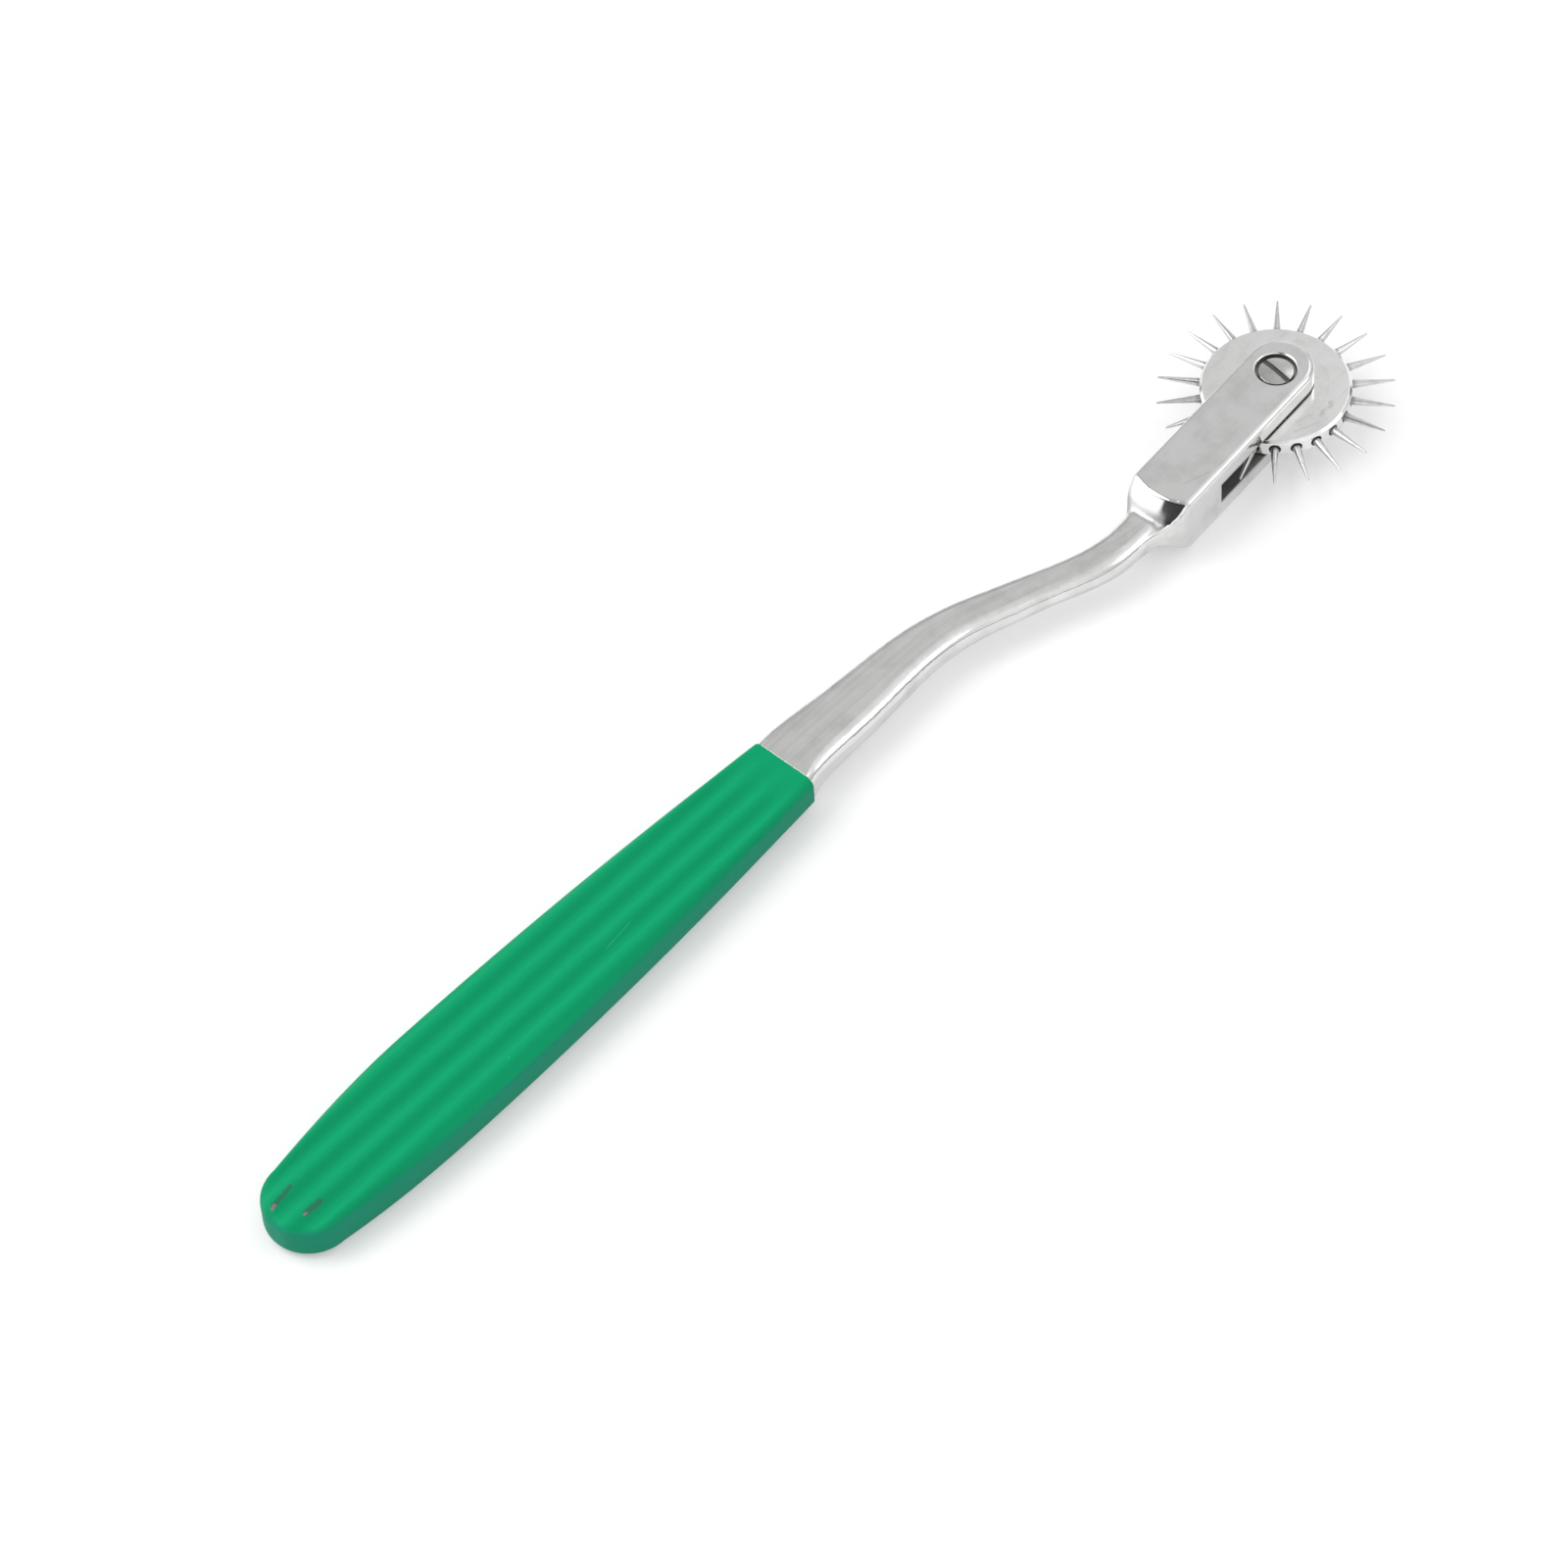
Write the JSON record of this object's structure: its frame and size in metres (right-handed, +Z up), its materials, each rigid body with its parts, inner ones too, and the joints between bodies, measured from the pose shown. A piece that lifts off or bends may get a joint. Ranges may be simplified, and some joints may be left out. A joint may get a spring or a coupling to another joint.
{
  "type": "neurological pinwheel",
  "caption": "Hand-held neurological pinwheel: a coated fluted grip and an S-bent forged neck end in a slotted fork, where a steel disc ringed with sharp radial needles spins on a slotted screw.",
  "frame": {"origin": "centre of the bounding box at its lowest level, the outer face of the lower cheek", "axes": "+X along the handle towards the wheel, +Z up along the wheel's axis"},
  "size_m": [0.1892, 0.0304, 0.0087],
  "materials": {
    "forged_steel": "satin-polished forging with bright edges",
    "green_coat": "semi-matte dipped coat",
    "screw_steel": "turned, lightly polished",
    "disc_steel": "bright plated",
    "needle_steel": "ground and polished"
  },
  "bodies": {
    "handle": {"fork_frame": "forged_steel", "grip_coating": "green_coat", "axle_screw": "screw_steel"},
    "wheel": {"wheel_disc": "disc_steel", "needle_pin_01": "needle_steel", "needle_pin_02": "needle_steel", "needle_pin_03": "needle_steel", "needle_pin_04": "needle_steel", "needle_pin_05": "needle_steel", "needle_pin_06": "needle_steel", "needle_pin_07": "needle_steel", "needle_pin_08": "needle_steel", "needle_pin_09": "needle_steel", "needle_pin_10": "needle_steel", "needle_pin_11": "needle_steel", "needle_pin_12": "needle_steel", "needle_pin_13": "needle_steel", "needle_pin_14": "needle_steel", "needle_pin_15": "needle_steel", "needle_pin_16": "needle_steel", "needle_pin_17": "needle_steel", "needle_pin_18": "needle_steel", "needle_pin_19": "needle_steel", "needle_pin_20": "needle_steel", "needle_pin_21": "needle_steel", "needle_pin_22": "needle_steel"}
  },
  "joints": [
    {"name": "wheel_spin", "type": "hinge", "parent": "handle", "child": "wheel", "pos_m": [0.07944, 0, 0.00435], "axis": [0, 0, 1], "continuous": true}
  ]
}
